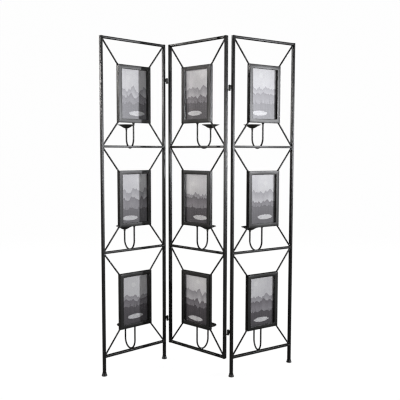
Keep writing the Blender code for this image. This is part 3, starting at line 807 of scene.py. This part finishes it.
# The dish's profile, from its socket round the outside to its floor. From boss to rim the
# underside climbs by the share s - swell (1 - s) sin(2 pi s) of its rise, where s is the share
# of the way out. The rim is a half circle, and the inside lies one wall above the outside.
def dishProfile():
    d, e = dishSizes, dishSizes["rounding"]
    s = np.linspace(0, 1, 30)
    rise = d["height"] - d["bossHeight"] - 2 * d["rim"]
    r = d["boss"] + (d["radius"] - d["rim"] - d["boss"]) * s
    climb = d["bossHeight"] + rise * (s - d["swell"] * (1 - s) * np.sin(2 * math.pi * s))
    bore = armSizes["radius"] + armSizes["gap"]
    boss = np.concatenate((((bore, armSizes["socket"]), (bore, e), (bore + e, 0)),
                           arc(d["boss"] - e, e, e, -90, 0, 4)))
    slope = math.degrees(math.atan2(climb[-1] - climb[-2], r[-1] - r[-2]))
    rim = arc(r[-1], climb[-1] + d["rim"], d["rim"], slope - 90, slope + 90, 9)
    within = r > d["floor"] + d["floorMargin"]
    inside = np.stack((r[within], climb[within] + d["wall"]), -1)[::-1][1:]
    floor = np.interp(d["floor"], r, climb) + d["wall"]
    fillet = np.array(d["fillet"]) + (d["floor"], floor)
    rings = [(share * d["floor"], floor) for share in d["floorRings"]]
    profile = np.concatenate((boss, np.stack((r, climb), -1), rim, inside, fillet, rings))
    edge = np.zeros(len(profile))
    edge[len(boss) + len(r):len(boss) + len(r) + len(rim)] = np.sin(np.linspace(0, math.pi, len(rim)))
    return profile, edge[:, None]


dishShape, dishEdge = dishProfile()
for panel, row in cells:
    makeArm(panel, row)
    makeTurned(f"spun_dish_{panel}_{row}", f"candle_dish_{panel}_{row}", dishShape, 72, dishEdge,
               f"candle_arm_{panel}_{row}", finishes["dish"])
print("nine hairpin arms and nine spun dishes made")


# Feet and hinge pins

footSizes = {
    "radius": 0.0147, "top": 0.0111, "height": 0.0180, "band": 0.0040,
    "rounding": 0.0013, "topRounding": 0.0008,
    "baseRing": 0.45,                 # a ring in the flat underside, as a share of its radius
    "stud": 0.0040, "studLength": 0.0160,
}
pinSizes = {"radius": 0.0030, "head": 0.0047, "headHeight": 0.0020, "domeRise": 0.0012}


# A flared cap: above its band the radius falls with the sine of a quarter turn.
def footProfile():
    f = footSizes
    e, small = f["rounding"], f["topRounding"]
    share = np.linspace(0, 1, 12)
    flare = np.stack((f["radius"] - (f["radius"] - f["top"]) * np.sin(share * math.pi / 2),
                      f["band"] + (f["height"] - small - f["band"]) * share), -1)
    return np.concatenate((
        ((f["radius"] * f["baseRing"], 0),),
        arc(f["radius"] - e, e, e, -90, 0, 6), flare,
        arc(f["top"] - small, f["height"] - small, small, 0, 90, 4),
        ((f["stud"], f["height"]), (f["stud"], f["height"] + f["studLength"] - small),
         (f["stud"] - small, f["height"] + f["studLength"]))))


# A riveted pin: a shank between two domed heads, each dome an arc of a larger circle.
def pinProfile(node):
    p = pinSizes
    low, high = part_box(node)
    tall, under = high[2] - low[2], p["headHeight"]
    ball = (p["head"] ** 2 + p["domeRise"] ** 2) / (2 * p["domeRise"])
    reach = math.degrees(math.asin(p["head"] / ball))
    dome = arc(0, -ball, ball, 90 - reach, 88, 7)
    shank = ((p["head"], under), (p["radius"], under),
             (p["radius"], tall - under), (p["head"], tall - under))
    return np.concatenate((dome[::-1] * (1, -1), shank, dome + (0, tall)))


for panel in ("left", "right"):
    for side in ("inner", "outer"):
        makeTurned(f"flared_foot_{panel}_{side}", f"foot_{panel}_{side}", footProfile(), 48, 0.1,
                   f"{panel}_panel", finishes["foot"])
    for hinge in ("upper", "lower"):
        node = f"hinge_pin_{panel}_{hinge}"
        makeTurned(f"domed_pin_{panel}_{hinge}", node, pinProfile(node), 32, 0.3,
                   f"{panel}_panel", finishes["pin"])
print("four feet and four hinge pins made")


# Pictures, glass and boards

printSizes = {
    "width": 0.1730, "height": 0.2690,     # clear of the rebate's walls
    "front": 0.00242, "thickness": 0.00032,
    "cockle": 0.00004,                     # how far the paper waves
}

# Each print is a misty landscape: a pale streaked sky with a sun, three ridges, two rows of
# firs and a pool.
# Heights and places are shares of the sheet.
pictureShares = {
    ("left", "top"): dict(seed=3.1, ridges=(0.60, 0.47, 0.33), sun=(0.30, 0.82), pool=(0.62, 0.13)),
    ("left", "centre"): dict(seed=8.7, ridges=(0.66, 0.50, 0.30), sun=(0.68, 0.86), pool=(0.34, 0.11)),
    ("left", "bottom"): dict(seed=14.2, ridges=(0.57, 0.49, 0.36), sun=(0.45, 0.80), pool=(0.52, 0.15)),
    ("middle", "top"): dict(seed=21.9, ridges=(0.63, 0.46, 0.34), sun=(0.70, 0.84), pool=(0.40, 0.14)),
    ("middle", "centre"): dict(seed=27.4, ridges=(0.58, 0.52, 0.31), sun=(0.33, 0.79), pool=(0.64, 0.12)),
    ("middle", "bottom"): dict(seed=33.8, ridges=(0.67, 0.48, 0.35), sun=(0.55, 0.87), pool=(0.45, 0.10)),
    ("right", "top"): dict(seed=41.3, ridges=(0.61, 0.51, 0.32), sun=(0.40, 0.85), pool=(0.36, 0.13)),
    ("right", "centre"): dict(seed=47.6, ridges=(0.65, 0.45, 0.36), sun=(0.62, 0.81), pool=(0.60, 0.14)),
    ("right", "bottom"): dict(seed=55.0, ridges=(0.59, 0.50, 0.29), sun=(0.28, 0.86), pool=(0.50, 0.12)),
}
printTones = [(0.00, (0.034, 0.029, 0.034)), (0.30, (0.110, 0.092, 0.108)),
              (0.58, (0.380, 0.364, 0.388)), (0.78, (0.720, 0.708, 0.725)),
              (1.00, (0.900, 0.895, 0.890))]
# Each ridge, the farthest first: how far its skyline swings, the noise's detail, the tone of its
# crest, and how much paler it grows below.
ridgeLooks = ((0.26, 3, 0.56, 0.30), (0.22, 4, 0.36, 0.26), (0.14, 5, 0.17, 0.10))
# Each row of firs: how many, how far its foot lies below the nearest ridge, its height and tone.
firRows = ((17, 0.05, 0.15, 0.13), (11, 0.15, 0.20, 0.07))
printLook = {
    "sky": 0.80, "streaks": 0.22, "clouds": 0.22,
    "sun": 0.22, "sunEdge": (0.0018, 0.0026),        # squared distances on the sheet
    "glow": 0.10, "glowReach": 0.09,
    "squash": 0.42,                                  # the sheet's width to its height, squared
    "ridgeEdge": 0.004, "mistFall": 3.2, "texture": 0.12,
    "pool": (0.30, 0.050), "poolEdge": (0.82, 1.0), "shoreRag": 1.1,
    "water": 0.92, "ripple": 0.40,
    "grain": 0.16,
}


def printFinish(panel, row):
    shares, look = pictureShares[panel, row], printLook
    seed = shares["seed"]
    made = Finish(f"grey_print_{panel}_{row}", Metallic=0.0, Roughness=0.62)
    x, y = made.axis("UV", 0), made.axis("UV", 1)

    # noise that varies across the sheet only, so that it draws a skyline
    def skyline(frequency, detail):
        noise = made.node("ShaderNodeTexNoise", {"noise_dimensions": "1D"}, W=x * frequency + seed * 3.7,
                          Scale=1.0, Detail=detail, Roughness=0.55)
        return made.value(noise.outputs[0]) - 0.5

    # noise over the sheet, in lumps per sheet across and up
    def mottle(across, up, detail, roughness, shift=(0, 0, 0)):
        return made.noise(1.0, detail, roughness, (across, up, 1), shift, "UV")

    streak = mottle(46, 2.6, 3, 0.6, (seed, seed, 0))
    cloud = mottle(2.2, 5.5, 4, 0.55, (seed * 2, seed, 3))
    tone = look["sky"] + look["streaks"] * (streak - 0.5) + look["clouds"] * (cloud - 0.5)
    sunX, sunY = x - shares["sun"][0], y - shares["sun"][1]
    fromSun = sunX * sunX * look["squash"] + sunY * sunY
    tone = tone + look["sun"] * (1 - fromSun.step(*look["sunEdge"]))
    tone = tone + look["glow"] * (1 - fromSun.step(0.0, look["glowReach"]))
    texture = mottle(30, 26, 5, 0.62, (0, seed, 1)) - 0.5
    for ridge, (swing, detail, dark, mist) in zip(shares["ridges"], ridgeLooks):
        line = skyline(2.0 + 4 * detail / 5, detail) * swing + ridge
        inside = 1 - y.step(line - look["ridgeEdge"], line + look["ridgeEdge"])
        hill = dark + mist * ((line - y) * look["mistFall"]).kept() + look["texture"] * texture
        tone = tone + inside * (hill - tone)
    # firs: one to each strip, off its middle and tall by a share drawn from the strip's number,
    # the fraction of 43758.5453 sin(12.9898 number + seed)
    for count, below, tall, dark in firRows:
        strip = x * count + seed
        number = strip - strip.part()
        draw = ((number * 12.9898 + seed).wave() * 43758.5453).part()
        across = (strip.part() - (0.5 + 0.3 * (draw - 0.5))).size()
        rag = mottle(120, 90, 3, 0.7, (seed, 0, 2)) - 0.5
        top = shares["ridges"][2] - below + tall * (0.35 + 0.65 * draw)
        spread = ((top - y) * (2.6 / tall) * 0.20 + 0.10 * rag) * (0.7 + 0.3 * ((y * 190).wave()))
        inside = (across < spread) * (y < top)
        tone = tone + inside * (dark + 0.10 * texture - tone)
    # the pool: a pale flattened ellipse with dark ripples, and its ragged shore
    px, py = ((axis - middle) / size for axis, middle, size in zip((x, y), shares["pool"], look["pool"]))
    shore = px * px + py * py + look["shoreRag"] * texture
    ripples = mottle(9, 130, 3, 0.5, (seed, 0, 5))
    water = look["water"] - look["ripple"] * ripples.step(0.50, 0.72)
    tone = tone + (1 - shore.step(*look["poolEdge"])) * (water - tone)
    tone = (tone + look["grain"] * (mottle(520, 800, 1, 0.5) - 0.5)).kept()
    made.set(Base_Color=made.ramp(tone, printTones))
    made.bump(made.noise(900, 2), 0.00003)
    return made.material


# A sheet of paper as a closed grid: front and back are a hair apart and both follow the same
# cockle, amplitude * sin * sin. Its UV map runs from 0 to 1 across and up the sheet.
def makePrint(panel, row, number):
    p = printSizes
    columns, rows = 18, 26
    a, b = np.meshgrid(np.linspace(0, 1, columns), np.linspace(0, 1, rows))
    wave = p["cockle"] * np.sin(7 * a + number) * np.sin(9 * b + 2 * number)
    x, z = (a - 0.5) * p["width"], cellCentres[row] + (b - 0.5) * p["height"]
    front = np.stack((x, p["front"] + wave, z), -1)
    back = front + (0, p["thickness"], 0)
    points = inRoom(np.concatenate((front, back)).reshape(-1, 3), panel)
    index = np.arange(rows * columns).reshape(rows, columns)
    face = np.stack((index[:-1, :-1], index[:-1, 1:], index[1:, 1:], index[1:, :-1]), -1).reshape(-1, 4)
    rim = np.concatenate((index[0, :-1], index[:-1, -1], index[-1, :0:-1], index[:0:-1, 0]))
    following = np.roll(rim, -1)
    rest = index.size
    wall = np.stack((rim, rim + rest, following + rest, following), -1)
    faces = np.concatenate((face, face[:, ::-1] + rest, wall))
    mesh = bpy.data.meshes.new(f"paper_print_{panel}_{row}")
    mesh.from_pydata(points, [], faces.tolist())
    flat = np.tile(np.stack((a.ravel(), b.ravel()), -1), (2, 1))
    mesh.uv_layers.new(name="layout").data.foreach_set("uv", flat[faces.ravel()].ravel())
    mesh.shade_smooth()
    mesh.set_sharp_from_angle(angle=math.radians(40))
    mesh.materials.append(printFinish(panel, row))
    made = placed(mesh)
    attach(made, f"{panel}_panel")


for number, (panel, row) in enumerate(cells):
    makePrint(panel, row, number)
print("nine prints made")


glassLook = {
    "mirror": 0.027,          # share of the light that a face mirrors when met squarely
    "graze": 0.9,             # and how much more when grazed
    "haze": 0.006,            # and where the haze is thick
    "roughness": 0.36, "patchy": 0.03,
}


# Hazed window glass as two films, one on each face. Each mirrors
# mirror + graze * slant ** 5 + haze of the light, and lets the rest pass.
def glassFinish():
    made = Finish("picture_glass", Metallic=1.0)
    slant = made.value(made.node("ShaderNodeLayerWeight", Blend=0.5).outputs["Facing"])
    haze = made.noise(60, 4, 0.6)
    look = glassLook
    made.set(Base_Color=made.mix(haze, (0.92, 0.93, 0.96, 1), (0.96, 0.96, 0.98, 1)),
             Alpha=(look["mirror"] + look["graze"] * slant ** 5.0 + look["haze"] * haze).kept(),
             Roughness=(look["roughness"] + look["patchy"] * haze.step(0.35, 0.8)).kept())
    return made.material


# Hardboard: matted fibres of light and dark brown, pressed flat.
def boardFinish():
    made = Finish("brown_hardboard", Metallic=0.0)
    fibre = made.noise(260, 5, 0.7, stretch=(1, 1, 3.5))
    felt = made.noise(900, 3, 0.6)
    cloud = made.noise(12, 3)
    base = made.ramp(fibre * 0.55 + felt * 0.20 + cloud * 0.25,
                     [(0.30, (0.105, 0.058, 0.030)), (0.52, (0.190, 0.112, 0.060)),
                      (0.74, (0.300, 0.195, 0.115))])
    made.set(Base_Color=base, Roughness=(0.62 + 0.25 * felt).kept())
    made.bump(fibre * 0.7 + felt * 0.5, 0.00012)
    return made.material


glass, board = glassFinish(), boardFinish()
for panel, row in cells:
    for node, finish in ((f"glass_{panel}_{row}", glass), (f"backing_board_{panel}_{row}", board)):
        made = frame["nodes"][node]
        made.data.materials.clear()
        made.data.materials.append(finish)
print("glass and boards finished")


# Studio

studio = {
    "floorRadius": 5.5, "sweep": 1.6, "wallTop": 7.0,
    "glow": 0.97,             # of the pale ground and wall
    "ambient": 0.05,
    "pixelFilter": 1.25,      # as sharp as the photograph
}
cool, warm, white = (0.955, 0.965, 1.0), (1.0, 0.965, 0.945), (1.0, 1.0, 1.0)
# Each lamp: where it stands, the height over the middle of the floor that it aims at, its size
# across, its power and colour.
lamps = {
    "side_light_right": ((7.155, -2.90, 1.75), 1.0, 0.12, 235, cool),
    "side_light_left": ((-7.10, -3.20, 2.1), 1.0, 0.30, 190, warm),
    "front_light_left": ((-2.9, -2.9, 1.7), 1.0, 0.4, 27, white),
    "front_light_right": ((2.9, -2.9, 1.2), 1.0, 0.4, 27, white),
    "edge_light_right": ((4.0, 1.00, 1.4), 1.0, 1.2, 50, cool),
    "edge_light_left": ((-4.44, 1.03, 2.4), 1.1, 0.4, 36, warm),
    "back_light_left": ((-3.6, 3.0, 3.4), 0.9, 1.6, 40, white),
    "back_light_right": ((3.6, 3.2, 3.4), 0.9, 1.6, 40, white),
}
glossOnly = ("edge_light_right",)     # lamps that show in gloss alone and cast no shadow
# A dark strip that only casts a shadow, on a part of the left panel's glass.
flag = {
    "spot": (0.0843, -0.1089), "toward": (-0.9302, 0.3672), "width": 0.0502,
    "low": -0.5, "high": 3.0,
}


def stageMesh(name, points, faces, finish, **seenBy):
    mesh = bpy.data.meshes.new(name)
    mesh.from_pydata(points, [], faces)
    mesh.materials.append(finish)
    made = placed(mesh)
    for ray, seen in seenBy.items():
        setattr(made, f"visible_{ray}", seen)
    return made


# The floor sweeps up into a round wall: a flat disc, a quarter circle and an upright, turned
# about the middle of the room.
def makeBackdrop():
    s = studio
    profile = np.concatenate((((0.02, 0), (s["floorRadius"], 0)),
                              arc(s["floorRadius"], s["sweep"], s["sweep"], -90, 0, 12),
                              ((s["floorRadius"] + s["sweep"], s["wallTop"]),)))
    points = turnedPoints(profile, (0, 0), 96)
    rows, columns = points.shape[:2]
    index = np.arange(rows * columns).reshape(rows, columns)
    over = np.roll(index, -1, 1)
    faces = np.stack((index[:-1], over[:-1], over[1:], index[1:]), -1).reshape(-1, 4)[:, ::-1].tolist()
    faces.append(index[0].tolist())
    pale = Finish("pale_backdrop", Base_Color=(0.05, 0.05, 0.05, 1), Roughness=1.0,
                  Emission_Color=(1, 1, 1, 1), Emission_Strength=s["glow"])
    made = stageMesh("backdrop", points.reshape(-1, 3), faces, pale.material,
                     glossy=False, diffuse=False, shadow=False)
    made.data.shade_smooth()


def makeFlag(name, spot, toward, width, low, high):
    side = np.array((-toward[1], toward[0])) / math.hypot(*toward) * width / 2
    near, far = np.array(spot) - side, np.array(spot) + side
    black = Finish(name, Base_Color=(0, 0, 0, 1), Roughness=1.0)
    points = [(*near, low), (*far, low), (*far, high), (*near, high)]
    stageMesh(name, points, [(0, 1, 2, 3)], black.material, camera=False, diffuse=False, glossy=False)


# A round lamp, itself unseen by the camera.
def makeLight(name, spot, aimHeight, size, power, colour):
    light = bpy.data.lights.new(name, "AREA")
    light.shape, light.size, light.energy, light.color = "DISK", size, power, colour
    light.use_shadow = light.cycles.use_multiple_importance_sampling = name not in glossOnly
    made = placed(light)
    made.location = spot
    toward = np.array((0, 0, aimHeight)) - np.array(spot)
    made.rotation_euler = Vector(toward).to_track_quat("-Z", "Y").to_euler()
    made.visible_camera, made.visible_diffuse = False, name not in glossOnly


def setRoom():
    world = bpy.data.worlds.new("room")
    world.use_nodes = True
    background = world.node_tree.nodes["Background"].inputs
    background["Color"].default_value = (1, 1, 1, 1)
    background["Strength"].default_value = studio["ambient"]
    bpy.context.scene.world = world
    bpy.context.scene.view_settings.view_transform = "Standard"
    bpy.context.scene.cycles.filter_width = studio["pixelFilter"]


makeBackdrop()
for name, lamp in lamps.items():
    makeLight(name, *lamp)
makeFlag("flag_right", **flag)
setRoom()

# The camera, fitted to the photograph: a square picture 400 pixels wide.
cameraView = {
    "lens": 52.88,                       # on a 36 mm wide sensor
    "fromMiddle": (0.0173, -3.1547),     # from the middle panel's centre
    "height": 1.1817,
    "pitch": 4.584, "roll": -0.12,       # degrees
    "shiftY": -0.0023,
}


def makeCamera():
    lens = bpy.data.cameras.new("photo_camera")
    lens.lens, lens.sensor_width, lens.shift_y = cameraView["lens"], 36.0, cameraView["shiftY"]
    made = placed(lens)
    across, along = panelPlaces["middle"][1][:2] + cameraView["fromMiddle"]
    made.location = (across, along, cameraView["height"])
    made.rotation_euler = (math.radians(90 - cameraView["pitch"]), math.radians(cameraView["roll"]), 0)
    bpy.context.scene.camera = made


makeCamera()
print("studio made")
